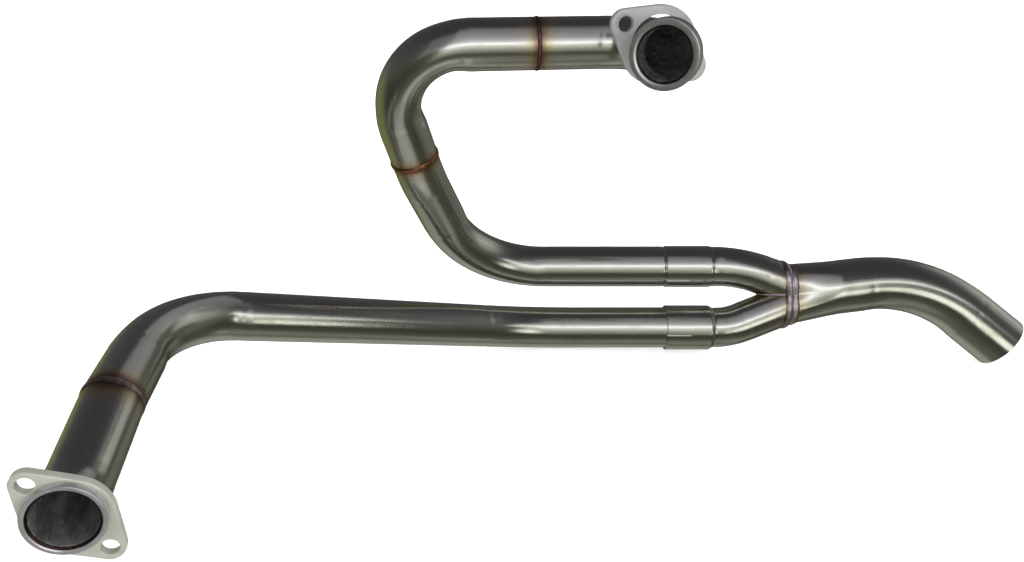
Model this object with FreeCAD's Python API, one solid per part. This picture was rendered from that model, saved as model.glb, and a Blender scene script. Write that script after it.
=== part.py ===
import FreeCAD, Part
import math
import os

V = FreeCAD.Vector

# Two-into-one motorcycle decat pipe, millimetres.
#
# Drawing frame: x runs along the two slip joints, from the headers to the
# outlet; y goes from the front header's slip joint to the rear header's;
# z is normal to the flat collector. At the end every piece is turned into
# the attitude in which the whole pipe rests on a floor (+Z up).

# ---------------------------------------------------------------- dimensions
TUBE_OD = 38.1            # header tube, 1 1/2 in
WALL = 1.5
R_OUT = TUBE_OD / 2.0
R_IN = R_OUT - WALL

OUTLET_OD = 50.8          # outlet tube, 2 in
OUTLET_R = OUTLET_OD / 2.0
OUTLET_WALL = 1.5

# front header, corner points of its centre line
Y_FRONT = -43.9           # slip joint axis
FRONT_SLIP_END = V(181.0, Y_FRONT, 0.0)
FRONT_KINK = V(12.0, Y_FRONT, 0.0)
FRONT_KINK_R = 151.0
FRONT_BEND = V(-257.7, -23.6, 172.1)
FRONT_BEND_R = 83.0
FRONT_MITRE = V(-247.6, -74.6, 267.0)    # butt weld between the bend and the port stub
FRONT_TURN = V(-246.1, -118.2, 312.9)    # slight turn just short of the port
FRONT_TURN_R = 50.0
FRONT_PORT_DIR = V(0.250, -0.362, 0.898)  # port axis, out of the mouth
FRONT_PORT_LEN = 28.0                     # from that turn to the mouth

# rear header
Y_REAR = 13.8
REAR_SLIP_END = V(181.0, Y_REAR, 0.0)
REAR_BEND_LOW = V(-40.4, Y_REAR, 0.0)
REAR_BEND_LOW_R = 92.0
REAR_SET = V(-73.5, 84.5, 106.9)         # slight set below the butt weld
REAR_SET_R = 100.0
REAR_MID_WELD = 20.0                     # butt weld, this far past the set
REAR_BEND_TOP = V(-100.2, 169.5, 183.5)
REAR_BEND_TOP_R = 50.0
REAR_ELBOW = V(133.0, 180.08, 160.96)    # corner of the port elbow
REAR_ELBOW_R = 42.0
REAR_PORT_DIR = V(-0.3766, -0.3582, 0.8542)
REAR_PORT_LEN = 87.1                     # from the elbow's corner to the mouth
REAR_WELD_X = 18.0                       # butt weld of the elbow, on the straight

# port collars and flange plates
FRONT_COLLAR_OD = 43.8
REAR_COLLAR_OD = 47.4
COLLAR_BORE = 38.2
FRONT_COLLAR_LEN = 5.0
REAR_COLLAR_LEN = 12.0
TUBE_RECESS = 2.0                        # the tube ends this far inside the mouth
PLATE_T = 6.0
# plates: round about the tube, round about each bolt, bolt circle, bolt hole, bore (radii, but the circle's diameter)
FRONT_PLATE = (24.0, 8.5, 57.4, 5.0, 20.5)
REAR_PLATE = (28.0, 10.6, 59.8, 5.4, 21.4)
FRONT_EAR_DIR = V(-0.566, 0.698, 0.439)
FRONT_PLATE_SLIP = -1.9                  # plate hangs off centre, along its ears
FRONT_BORE_SHIFT = 0.6                   # its bore is bored this far off the bolt circle's centre
REAR_EAR_DIR = V(-0.840, 0.386, 0.380)
REAR_PLATE_SLIP = 1.2
REAR_PLATE_AT = 71.0                     # degrees round the elbow
REAR_PLATE_TILT = 14.0                   # degrees the plate leans on the tube there

# collector
X_SOCKET = 144.0                         # mouth of both sockets
SOCKET_LEN = 40.5
SOCKET_CONE = 5.0
LEG_R = 18.8
LEG_WALL = 1.5
SOCKET_F_OD = 41.8                       # front socket, expanded over the tube
SOCKET_F_ID = 38.3
SOCKET_R_OD = 39.0                       # rear socket takes a swaged tube end
SOCKET_R_ID = 36.9
SWAGE_OD = 36.7
SLOT_LEN = 22.5
SLOT_W = 2.2
SLOT_F_DEG = -17.0                       # slot position round the socket, from +z
SLOT_R_DEG = -44.0
X_MERGE = 260.0                          # where the legs meet the outlet
Y_MERGE = -12.75
HALF_SEP = 9.45                          # leg axes either side of Y_MERGE there
LEG_SLOPE = 21.4
UPPER_BEND_R = 130.0
LOWER_BEND_R = 70.0

# outlet centre line
OUTLET_CORNER = V(386.1, 3.7, 0.0)
OUTLET_END = V(462.6, -58.2, 0.0)
OUTLET_BEND_R = 128.0
OUTLET_FORM = 46.0                       # length over which oval becomes round

# weld beads
BEAD_H = 0.9
FRONT_BEAD_W = 7.0
REAR_BEAD_W = 4.0
MITRE_BEAD_W = 5.0
MERGE_BEAD_W = 6.2
MERGE_BEAD_H = 1.4

# resting attitude: directions of the floor frame seen in the drawing frame
REST_UP = V(0.03737, 0.95069, 0.30789)
REST_BACK = V(0.0, 0.0, -1.0)            # its level part becomes +Y


# ------------------------------------------------------------------- helpers
def unit(v):
    return V(v).multiply(1.0 / v.Length)


def lerp(a, b, t):
    return a + (b - a) * t


def segments(points, radii):
    """Straight runs and tangent arcs through the corner points."""
    out = []
    cur = V(points[0])
    for i in range(1, len(points) - 1):
        c = points[i]
        a = unit(points[i - 1] - c)
        b = unit(points[i + 1] - c)
        turn = math.pi - math.acos(max(-1.0, min(1.0, a.dot(b))))
        r = radii[i - 1]
        t = r * math.tan(turn / 2.0)
        p0 = c + a * t
        p1 = c + b * t
        centre = c + unit(a + b) * (r / math.cos(turn / 2.0))
        axis = unit((p0 - centre).cross(a * -1.0))
        if (p0 - cur).Length > 1e-6:
            out.append(("line", V(cur), p0))
        out.append(("arc", p0, centre, axis, math.degrees(turn), p1, r))
        cur = p1
    if (points[-1] - cur).Length > 1e-6:
        out.append(("line", V(cur), V(points[-1])))
    return out


def path_length(segs):
    n = 0.0
    for s in segs:
        n += (s[2] - s[1]).Length if s[0] == "line" else s[6] * math.radians(s[4])
    return n


def disc(p, d, ro, ri=None):
    outer = Part.Wire([Part.makeCircle(ro, p, d)])
    if ri is None:
        return Part.Face(outer)
    inner = Part.Wire([Part.makeCircle(ri, p, d)])
    return Part.makeFace([outer, inner], "Part::FaceMakerBullseye")


def sweep(segs, ro, ri=None):
    bits = []
    for s in segs:
        if s[0] == "line":
            d = s[2] - s[1]
            bits.append(disc(s[1], unit(d), ro, ri).extrude(d))
        else:
            _, p0, centre, axis, deg, p1, r = s
            tangent = axis.cross(unit(p0 - centre))
            bits.append(disc(p0, tangent, ro, ri).revolve(centre, axis, deg))
    body = bits[0] if len(bits) == 1 else bits[0].multiFuse(bits[1:])
    return body.Solids[0] if len(body.Solids) == 1 else body


def turned(profile, base, d):
    """Solid of revolution: profile is (distance along d, radius) corners."""
    d = unit(d)
    side = unit(d.cross(V(0.31, 0.52, 0.79)))
    pts = [base + d * z + side * r for z, r in profile]
    face = Part.Face(Part.makePolygon(pts + [pts[0]]))
    return face.revolve(base, d, 360.0).Solids[0]


def half_space(p, n, size=900.0):
    """Large block on the side of the plane at p that n points to."""
    n = unit(n)
    a = unit(n.cross(V(0.31, 0.52, 0.79)))
    b = n.cross(a)
    q = [p + a * size + b * size, p - a * size + b * size,
         p - a * size - b * size, p + a * size - b * size]
    return Part.Face(Part.makePolygon(q + [q[0]])).extrude(n * size)


def bead(centre, d, r, width, height, cut_by):
    """Low rounded weld bead round a tube."""
    h = width / 2.0
    prof = [(-h, r - 0.6), (-h, r + 0.15), (-h * 0.62, r + height * 0.72),
            (-h * 0.22, r + height), (h * 0.22, r + height),
            (h * 0.62, r + height * 0.72), (h, r + 0.15), (h, r - 0.6)]
    ring = turned(prof, centre, d)
    for c in cut_by:
        ring = ring.cut(c)
    return max(ring.Solids, key=lambda s: s.Volume)


def plate(centre, n, ear, size, bore_shift=0.0):
    """Two-bolt flange plate: a round, two ears and their common tangents."""
    rc, re, pcd, bolt_r, bore_r = size
    n = unit(n)
    e = unit(ear - n * ear.dot(n))
    g = n.cross(e)
    a = pcd / 2.0
    beta = math.acos((rc - re) / a)
    base = centre - n * (PLATE_T / 2.0)

    def at(c, r, ang):
        return base + e * (c + r * math.cos(ang)) + g * (r * math.sin(ang))

    edges = [
        Part.Arc(at(a, re, -beta), at(a, re, 0.0), at(a, re, beta)).toShape(),
        Part.makeLine(at(a, re, beta), at(0, rc, beta)),
        Part.Arc(at(0, rc, beta), at(0, rc, math.pi / 2), at(0, rc, math.pi - beta)).toShape(),
        Part.makeLine(at(0, rc, math.pi - beta), at(-a, re, math.pi - beta)),
        Part.Arc(at(-a, re, math.pi - beta), at(-a, re, math.pi), at(-a, re, math.pi + beta)).toShape(),
        Part.makeLine(at(-a, re, math.pi + beta), at(0, rc, math.pi + beta)),
        Part.Arc(at(0, rc, math.pi + beta), at(0, rc, 1.5 * math.pi), at(0, rc, -beta)).toShape(),
        Part.makeLine(at(0, rc, -beta), at(a, re, -beta)),
    ]
    solid = Part.Face(Part.Wire(edges)).extrude(n * PLATE_T)
    for c, r in ((bore_shift, bore_r), (a, bolt_r), (-a, bolt_r)):
        solid = solid.cut(Part.makeCylinder(r, PLATE_T + 4.0, base + e * c - n * 2.0, n))
    return solid.Solids[0]


def collar(mouth, n, od, L):
    """Turned ring on the tube's end, with small chamfers."""
    n = unit(n)
    ro, ri, c = od / 2.0, COLLAR_BORE / 2.0, 0.6
    prof = [(-L, ri), (-L, ro - c), (-L + c, ro), (-c, ro), (0, ro - c), (0, ri + c), (-c, ri)]
    return turned(prof, mouth, n)


def mouth_weld(mouth, n):
    """Fillet weld inside the mouth, between the tube's end and the collar."""
    ri = COLLAR_BORE / 2.0
    z = -TUBE_RECESS
    prof = [(z, R_IN + 0.15), (z, ri), (z + 1.35, ri), (z + 0.85, ri - 0.75), (z + 0.35, R_IN + 0.45)]
    return turned(prof, mouth, n)


def stadium(x, y, half, r):
    """Oval wire in a plane of constant x: two half circles and two flats."""
    top, bot = y + half, y - half
    return Part.Wire([
        Part.Arc(V(x, top, r), V(x, top + r, 0), V(x, top, -r)).toShape(),
        Part.makeLine(V(x, top, -r), V(x, bot, -r)),
        Part.Arc(V(x, bot, -r), V(x, bot - r, 0), V(x, bot, r)).toShape(),
        Part.makeLine(V(x, bot, r), V(x, top, r)),
    ])


def round4(p, d, r, half_deg):
    """Circle cut in four arcs that face the oval's four edges."""
    d = unit(d)
    w = V(0, 0, 1)
    u = unit(w.cross(d))          # towards +y
    def at(deg):
        t = math.radians(deg)
        return p + u * (r * math.cos(t)) + w * (r * math.sin(t))
    k = half_deg
    return Part.Wire([
        Part.Arc(at(k), at(0), at(-k)).toShape(),
        Part.Arc(at(-k), at(-90), at(-180 + k)).toShape(),
        Part.Arc(at(180 + k), at(180), at(180 - k)).toShape(),
        Part.Arc(at(180 - k), at(90), at(k)).toShape(),
    ])


nodes = {}
filled = {}

# -------------------------------------------------------------- front header
f_dir = unit(FRONT_PORT_DIR)
front_mouth = FRONT_TURN + f_dir * FRONT_PORT_LEN
front_tube_end = front_mouth - f_dir * TUBE_RECESS
f_in = unit(FRONT_MITRE - FRONT_BEND)
f_out = unit(FRONT_TURN - FRONT_MITRE)
f_mitre = unit(f_in + f_out)
OVER = 12.0
seg_fp = segments([FRONT_SLIP_END, FRONT_KINK, FRONT_BEND, FRONT_MITRE + f_in * OVER], [FRONT_KINK_R, FRONT_BEND_R])
seg_fs = segments([FRONT_MITRE - f_out * OVER, FRONT_TURN, front_tube_end], [FRONT_TURN_R])
past = half_space(FRONT_MITRE, f_mitre)
before = half_space(FRONT_MITRE, f_mitre * -1.0)


def largest(shape):
    return max(shape.Solids, key=lambda s: s.Volume)


nodes["front_pipe"] = largest(sweep(seg_fp, R_OUT, R_IN).cut(past))
nodes["front_stub"] = largest(sweep(seg_fs, R_OUT, R_IN).cut(before))
filled["front_pipe"] = largest(sweep(seg_fp, R_OUT).cut(past))
filled["front_stub"] = largest(sweep(seg_fs, R_OUT).cut(before))
nodes["front_stub_weld"] = bead(FRONT_MITRE, f_mitre, R_OUT, FRONT_BEAD_W, BEAD_H + 0.1,
                                [filled["front_pipe"], filled["front_stub"]])
nodes["front_collar"] = collar(front_mouth, f_dir, FRONT_COLLAR_OD, FRONT_COLLAR_LEN)
nodes["front_mouth_weld"] = mouth_weld(front_mouth, f_dir)
f_ear = unit(FRONT_EAR_DIR - f_dir * FRONT_EAR_DIR.dot(f_dir))
front_plate_at = front_mouth - f_dir * (FRONT_COLLAR_LEN + PLATE_T / 2.0) + f_ear * FRONT_PLATE_SLIP
nodes["front_flange"] = plate(front_plate_at, f_dir, f_ear, FRONT_PLATE, FRONT_BORE_SHIFT)

# --------------------------------------------------------------- rear header
r_dir = unit(REAR_PORT_DIR)
rear_mouth = REAR_ELBOW + r_dir * REAR_PORT_LEN
rear_tube_end = rear_mouth - r_dir * TUBE_RECESS
s3 = unit(REAR_ELBOW - REAR_BEND_TOP)
rear_weld = REAR_BEND_TOP + s3 * ((REAR_WELD_X - REAR_BEND_TOP.x) / s3.x)

top_out = unit(REAR_BEND_TOP - REAR_SET)
mid_weld = REAR_SET + top_out * REAR_MID_WELD
seg_lo = segments([REAR_SLIP_END, REAR_BEND_LOW, REAR_SET, mid_weld], [REAR_BEND_LOW_R, REAR_SET_R])
seg_up = segments([mid_weld, REAR_BEND_TOP, rear_weld], [REAR_BEND_TOP_R])
seg_el = segments([rear_weld, REAR_ELBOW, rear_tube_end], [REAR_ELBOW_R])

# swaged slip end of the rear header, inside the collector's socket
x_sw = X_SOCKET - 3.2
swage_cut = turned([(0.0, R_OUT), (3.0, SWAGE_OD / 2.0), (60.0, SWAGE_OD / 2.0),
                    (60.0, R_OUT + 3.0), (0.0, R_OUT + 3.0)],
                   V(x_sw, Y_REAR, 0), V(1, 0, 0))
swage_core = turned([(0.0, 0.0), (0.0, R_IN), (3.0, SWAGE_OD / 2.0 - WALL), (60.0, SWAGE_OD / 2.0 - WALL), (60.0, 0.0)],
                    V(x_sw, Y_REAR, 0), V(1, 0, 0))

low_solid = sweep(seg_lo, R_OUT)
low_bore = sweep(seg_lo, R_IN)
# the bore follows the swage over the slip end
stub_bore = Part.makeCylinder(R_IN, 80.0, V(x_sw, Y_REAR, 0), V(1, 0, 0))
low_bore = low_bore.cut(stub_bore).fuse(swage_core)
filled["rear_lower_bend"] = largest(low_solid.cut(swage_cut))
nodes["rear_lower_bend"] = largest(filled["rear_lower_bend"].cut(low_bore))
nodes["rear_upper_bend"] = sweep(seg_up, R_OUT, R_IN)
filled["rear_upper_bend"] = sweep(seg_up, R_OUT)
nodes["rear_elbow"] = sweep(seg_el, R_OUT, R_IN)
filled["rear_elbow"] = sweep(seg_el, R_OUT)
nodes["rear_mid_weld"] = bead(mid_weld, top_out, R_OUT, MITRE_BEAD_W, BEAD_H,
                              [filled["rear_lower_bend"], filled["rear_upper_bend"]])
nodes["rear_elbow_weld"] = bead(rear_weld, s3, R_OUT, REAR_BEAD_W, BEAD_H * 0.85,
                                [filled["rear_upper_bend"], filled["rear_elbow"]])
nodes["rear_collar"] = collar(rear_mouth, r_dir, REAR_COLLAR_OD, REAR_COLLAR_LEN)
nodes["rear_mouth_weld"] = mouth_weld(rear_mouth, r_dir)
# the rear plate has slid back round the elbow and leans a little on the tube
arc = [s for s in seg_el if s[0] == "arc"][0]
at_plate = FreeCAD.Rotation(arc[3], REAR_PLATE_AT)
lean = FreeCAD.Rotation(arc[3], REAR_PLATE_AT + REAR_PLATE_TILT)
rear_plate_n = lean.multVec(s3)
r_ear = unit(REAR_EAR_DIR - rear_plate_n * REAR_EAR_DIR.dot(rear_plate_n))
rear_plate_at = arc[2] + at_plate.multVec(arc[1] - arc[2]) + r_ear * REAR_PLATE_SLIP
nodes["rear_flange"] = plate(rear_plate_at, rear_plate_n, r_ear, REAR_PLATE)

# ----------------------------------------------------------------- collector
slope = math.tan(math.radians(LEG_SLOPE))
y_up, y_low = Y_MERGE + HALF_SEP, Y_MERGE - HALF_SEP
OVERRUN = 8.0
x_leg = X_SOCKET + SOCKET_LEN + SOCKET_CONE


def leg(y_axis, y_end, bend_r, od, bore, slot_deg, keep):
    corner = V(X_MERGE - abs(y_end - y_axis) / slope, y_axis, 0)
    to = V(X_MERGE + OVERRUN, y_end + math.copysign(slope * OVERRUN, y_end - y_axis), 0)
    segs = segments([V(x_leg, y_axis, 0), corner, to], [bend_r])
    axis = V(1, 0, 0)
    base = V(X_SOCKET, y_axis, 0)
    ro, ri = od / 2.0, bore / 2.0
    li = LEG_R - LEG_WALL
    a, b = SOCKET_LEN, SOCKET_LEN + SOCKET_CONE
    outer = turned([(0, 0), (0, ro - 0.4), (0.4, ro), (a, ro), (b, LEG_R), (b, 0)], base, axis)
    inner = turned([(-1, 0), (-1, ri), (a, ri), (b, li), (b, 0)], base, axis)
    leg_out = sweep(segs, LEG_R)
    leg_in = sweep(segs, li)
    body = outer.fuse(leg_out).cut(inner).cut(leg_in)
    full = outer.fuse(leg_out)
    # saw slots, one each side, so that the socket can close on the tube
    t = math.radians(slot_deg)
    radial = V(0, math.sin(t), math.cos(t))
    across = axis.cross(radial)
    q = [base + across * (SLOT_W / 2.0) - axis * 1.0, base - across * (SLOT_W / 2.0) - axis * 1.0]
    q += [q[1] + axis * (SLOT_LEN + 1.0), q[0] + axis * (SLOT_LEN + 1.0)]
    saw = Part.Face(Part.makePolygon(q + [q[0]])).extrude(radial * 40.0)
    saw2 = Part.Face(Part.makePolygon(q + [q[0]])).extrude(radial * -40.0)
    body = body.cut(saw).cut(saw2)
    mid = V(0, Y_MERGE, 0)
    other = half_space(mid, V(0, -keep, 0))
    beyond = half_space(V(X_MERGE, 0, 0), V(1, 0, 0))
    body = body.cut(other).cut(beyond)
    full_cut = full.cut(other).cut(beyond)
    big = sweep(segs, LEG_R + 1.1)
    return (max(body.Solids, key=lambda s: s.Volume),
            max(full_cut.Solids, key=lambda s: s.Volume), big, full)


nodes["collector_upper_leg"], filled["upper_leg"], big_u, _ = leg(Y_REAR, y_up, UPPER_BEND_R, SOCKET_R_OD, SOCKET_R_ID, SLOT_R_DEG, 1)
nodes["collector_lower_leg"], filled["lower_leg"], big_l, _ = leg(Y_FRONT, y_low, LOWER_BEND_R, SOCKET_F_OD, SOCKET_F_ID, SLOT_F_DEG, -1)

# seam weld in the fork between the legs
slab = Part.makeBox(X_MERGE - 3.0 - 190.0, 4.4, 80.0, V(190.0, Y_MERGE - 2.2, -40.0))
crotch = big_u.common(big_l).common(slab)
crotch = crotch.cut(filled["upper_leg"]).cut(filled["lower_leg"])
nodes["fork_seam_weld"] = max(crotch.Solids, key=lambda s: s.Volume)

# -------------------------------------------------------------------- outlet
o_dir = unit(OUTLET_CORNER - V(X_MERGE, OUTLET_CORNER.y - 0.1205 * (OUTLET_CORNER.x - X_MERGE), 0))
round_at = OUTLET_CORNER - o_dir * ((OUTLET_CORNER.x - X_MERGE - OUTLET_FORM) / o_dir.x)


def outlet_form(shrink):
    a = stadium(X_MERGE, Y_MERGE, HALF_SEP, LEG_R - shrink)
    b = round4(round_at, o_dir, OUTLET_R - shrink, 66.0)
    return Part.makeLoft([a, b], True, True)


seg_out = segments([round_at, OUTLET_CORNER, OUTLET_END], [OUTLET_BEND_R])
form = outlet_form(0.0).cut(outlet_form(OUTLET_WALL))
run = sweep(seg_out, OUTLET_R, OUTLET_R - OUTLET_WALL)
nodes["outlet_pipe"] = form.fuse(run).Solids[0]
filled["outlet"] = outlet_form(0.0).fuse(sweep(seg_out, OUTLET_R))

# double weld round the merge
w, h = MERGE_BEAD_W, MERGE_BEAD_H


def band(x0, x1, grow):
    wire = stadium(x0, Y_MERGE, HALF_SEP, LEG_R + grow)
    return Part.Face(wire).extrude(V(x1 - x0, 0, 0))


ring = band(X_MERGE - w, X_MERGE - 0.6, h)
ring = ring.fuse(band(X_MERGE - 0.6, X_MERGE + 0.6, h * 0.45)).fuse(band(X_MERGE + 0.6, X_MERGE + w, h))
for c in (filled["upper_leg"], filled["lower_leg"], filled["outlet"], nodes["fork_seam_weld"]):
    ring = ring.cut(c)
core = Part.Face(stadium(X_MERGE - w - 1, Y_MERGE, HALF_SEP, LEG_R - 0.9)).extrude(V(2 * w + 2, 0, 0))
ring = ring.cut(core)
nodes["merge_weld"] = max(ring.Solids, key=lambda s: s.Volume)

# ------------------------------------------------------------ resting attitude
ez = unit(REST_UP)
ey = unit(REST_BACK - ez * REST_BACK.dot(ez))
ex = ey.cross(ez)
turn = FreeCAD.Matrix(ex.x, ex.y, ex.z, 0, ey.x, ey.y, ey.z, 0, ez.x, ez.y, ez.z, 0, 0, 0, 0, 1)
for k in nodes:
    nodes[k].transformShape(turn, True)
box = Part.makeCompound(list(nodes.values())).optimalBoundingBox(False, False)
shift = V(-(box.XMin + box.XMax) / 2.0, -(box.YMin + box.YMax) / 2.0, -box.ZMin)
move = FreeCAD.Matrix()
move.move(shift)
for k in nodes:
    nodes[k].transformShape(move, True)


def place(p):
    return turn.multVec(p) + shift


def point(d):
    return turn.multVec(d)


os.makedirs("parts", exist_ok=True)
for name in sorted(nodes):
    s = nodes[name]
    print("%-22s valid %s solids %d volume %.1f" % (name, s.isValid(), len(s.Solids), s.Volume))
    s.exportStep(os.path.join("parts", name + ".step"))

area = math.pi * (R_OUT ** 2 - R_IN ** 2)
for name, sg in (("front_pipe", seg_fp), ("front_stub", seg_fs), ("rear_elbow", seg_el)):
    print("section times length", name, round(area * path_length(sg), 1))
print("box", [round(v, 2) for v in (box.XLength, box.YLength, box.ZLength)])
out_dir = unit(OUTLET_END - OUTLET_CORNER)
for label, p, d in (("front_mouth", front_mouth, f_dir), ("rear_mouth", rear_mouth, r_dir),
                    ("front_plate", front_plate_at, f_dir), ("rear_plate", rear_plate_at, rear_plate_n),
                    ("outlet_end", OUTLET_END, out_dir)):
    q, e = place(p), point(d)
    print("%-12s pos_mm %.4f %.4f %.4f  axis %.6f %.6f %.6f" % (label, q.x, q.y, q.z, e.x, e.y, e.z))
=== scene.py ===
import math

import bpy
import numpy as np
from mathutils import Matrix, Vector
from mathutils.geometry import tessellate_polygon


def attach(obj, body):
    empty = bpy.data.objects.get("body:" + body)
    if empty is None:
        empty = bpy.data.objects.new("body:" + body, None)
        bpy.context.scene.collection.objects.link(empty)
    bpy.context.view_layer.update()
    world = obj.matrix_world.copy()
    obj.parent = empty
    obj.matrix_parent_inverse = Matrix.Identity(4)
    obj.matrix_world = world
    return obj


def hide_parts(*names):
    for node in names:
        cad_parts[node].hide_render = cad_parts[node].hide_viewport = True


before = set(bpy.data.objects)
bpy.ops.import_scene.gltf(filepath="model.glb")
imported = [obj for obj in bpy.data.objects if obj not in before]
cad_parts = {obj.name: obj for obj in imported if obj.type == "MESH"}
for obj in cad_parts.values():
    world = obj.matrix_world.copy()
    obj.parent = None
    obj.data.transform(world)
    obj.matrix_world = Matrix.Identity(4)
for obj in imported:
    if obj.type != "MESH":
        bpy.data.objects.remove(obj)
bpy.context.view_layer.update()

# Looks of a two-into-one motorcycle decat pipe. Lengths below are millimetres
# in the drawing frame (x along the slip joints, y from the front slip joint to
# the rear one, z normal to the flat collector); place() turns them into the
# row frame in metres.


# ------------------------------------------------------------------ placement
def unit(v):
    v = np.asarray(v, float)
    return v / np.linalg.norm(v)


EZ = unit((0.03737, 0.95069, 0.30789))
EY = unit(np.array((0.0, 0.0, -1.0)) - EZ * (-EZ[2]))
EX = np.cross(EY, EZ)
TURN = np.array([EX, EY, EZ])

# ----------------------------------------------------------------- dimensions
TUBE_R, WALL = 19.05, 1.5
OUTLET_R = 25.4
FRONT_SLIP_END, FRONT_KINK = (181.0, -43.9, 0.0), (12.0, -43.9, 0.0)
FRONT_BEND, FRONT_MITRE = (-257.7, -23.6, 172.1), (-247.6, -74.6, 267.0)
FRONT_TURN, FRONT_PORT = (-246.1, -118.2, 312.9), unit((0.250, -0.362, 0.898))
REAR_SLIP_END, REAR_LOW = (181.0, 13.8, 0.0), (-40.4, 13.8, 0.0)
REAR_SET, REAR_TOP = (-73.5, 84.5, 106.9), (-100.2, 169.5, 183.5)
REAR_ELBOW, REAR_PORT = (133.0, 180.08, 160.96), unit((-0.3766, -0.3582, 0.8542))
RECESS, PLATE_T = 2.0, 6.0
X_SOCKET, SOCKET_LEN, SOCKET_CONE = 144.0, 40.5, 5.0
LEG_R, X_MERGE, Y_MERGE, HALF_SEP, LEG_SLOPE = 18.8, 260.0, -12.75, 9.45, math.tan(math.radians(21.4))
OUTLET_CORNER, OUTLET_END, OUTLET_FORM = (386.1, 3.7, 0.0), (462.6, -58.2, 0.0), 46.0

front_mouth = np.array(FRONT_TURN) + FRONT_PORT * 28.0
rear_mouth = np.array(REAR_ELBOW) + REAR_PORT * 87.1
SHIFT = np.array((-338.8223, -193.6508, 32.0699)) - TURN @ front_mouth


def place(p):
    return (np.asarray(p, float) @ TURN.T + SHIFT) / 1000.0


# ---------------------------------------------------------------- centre lines
class Path:
    """Straight runs and tangent arcs through corner points."""

    def __init__(self, points, radii, flats=None):
        pts = [np.array(p, float) for p in points]
        self.seg, self.arcs, s, cur = [], [], 0.0, pts[0]
        for i in range(1, len(pts) - 1):
            c, a, b = pts[i], unit(pts[i - 1] - pts[i]), unit(pts[i + 1] - pts[i])
            turn = math.pi - math.acos(max(-1.0, min(1.0, float(a @ b))))
            r = radii[i - 1]
            t = r * math.tan(turn / 2)
            p0, p1 = c + a * t, c + b * t
            centre = c + unit(a + b) * (r / math.cos(turn / 2))
            axis = unit(np.cross(p0 - centre, -a))
            n = np.linalg.norm(p0 - cur)
            if n > 1e-6:
                self.seg.append(("line", s, s + n, cur, p0))
                s += n
            self.seg.append(("arc", s, s + r * turn, p0, centre, axis, r))
            self.arcs.append((s, s + r * turn, centre, axis, p0, flats[i - 1] if flats else 0.0))
            s += r * turn
            cur = p1
        n = np.linalg.norm(pts[-1] - cur)
        if n > 1e-6:
            self.seg.append(("line", s, s + n, cur, pts[-1]))
            s += n
        self.length = s

    def at(self, s):
        for g in self.seg:
            if s <= g[2] + 1e-9 or g is self.seg[-1]:
                break
        if g[0] == "line":
            d = unit(g[4] - g[3])
            return g[3] + d * (s - g[1]), d
        _, s0, _, p0, centre, axis, r = g
        q = rotate(p0 - centre, axis, (s - s0) / r)
        return centre + q, unit(np.cross(axis, q))

    def marks(self, step_line=5.0, step_arc=2.2, extra=()):
        out = [0.0, self.length]
        for g in self.seg:
            n = max(1, int(math.ceil((g[2] - g[1]) / (step_line if g[0] == "line" else step_arc))))
            out += list(np.linspace(g[1], g[2], n + 1))
        for a in self.arcs:      # closer together where the bend starts and ends
            for e in (a[0], a[1]):
                out += list(np.linspace(e - 12, e + 12, 17))
        out = sorted(x for x in list(out) + list(extra) if 0 <= x <= self.length)
        keep = [out[0]]
        for x in out[1:]:
            if x - keep[-1] > 0.12:
                keep.append(x)
        keep[-1] = self.length
        return np.array(keep)


def rotate(v, axis, angle):
    c, s = math.cos(angle), math.sin(angle)
    return v * c + np.cross(axis, v) * s + axis * (axis @ v) * (1 - c)


def smooth(x, a, b):
    t = np.clip((np.asarray(x, float) - a) / (b - a), 0, 1)
    return t * t * (3 - 2 * t)


def frames(path, s, ref=(0.0, 0.0, 1.0)):
    """Positions, tangents and two cross directions that never twist."""
    P, T = map(np.array, zip(*[path.at(x) for x in s]))
    U = np.zeros_like(P)
    u = np.array(ref, float)
    if abs(u @ T[0]) > 0.9:
        u = np.array((0.0, 1.0, 0.0))
    for k in range(len(s)):
        u = unit(u - T[k] * (u @ T[k]))
        U[k] = u
    return P, T, U, np.cross(T, U)


def flatten(path, s, T, grow=0.22):
    """How each section is squeezed in the plane of a bend, as 3x3 tensors."""
    D = np.zeros((len(s), 3, 3))
    for s0, s1, centre, axis, p0, f in path.arcs:
        if not f:
            continue
        ramp = min(14.0, 0.45 * (s1 - s0))
        w = smooth(s, s0 - ramp * 0.4, s0 + ramp) * (1 - smooth(s, s1 - ramp, s1 + ramp * 0.4))
        for k in np.nonzero(w > 0)[0]:
            x = min(max(s[k], s0), s1)
            q = path.at(x)[0] - centre
            e = unit(q - axis * (q @ axis))
            D[k] += w[k] * f * (-np.outer(e, e) + grow * np.outer(axis, axis))
    return D


# ------------------------------------------------------------------- mesh tools
def make_object(name, verts, faces, attrs=None, mats=(), face_mats=None, sharp=38.0):
    mesh = bpy.data.meshes.new(name)
    mesh.from_pydata([tuple(v) for v in place(verts)], [], [tuple(int(i) for i in f) for f in faces])
    for key, values in (attrs or {}).items():
        values = np.asarray(values, np.float32)
        if values.ndim == 2:
            a = mesh.attributes.new(key, "FLOAT_VECTOR", "POINT")
            a.data.foreach_set("vector", values.ravel())
        else:
            a = mesh.attributes.new(key, "FLOAT", "POINT")
            a.data.foreach_set("value", values)
    for m in mats:
        mesh.materials.append(m)
    if face_mats is not None:
        mesh.polygons.foreach_set("material_index", np.asarray(face_mats, np.int32))
    finish_mesh(mesh, sharp)
    ob = bpy.data.objects.new(name, mesh)
    bpy.context.scene.collection.objects.link(ob)
    return ob


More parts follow.
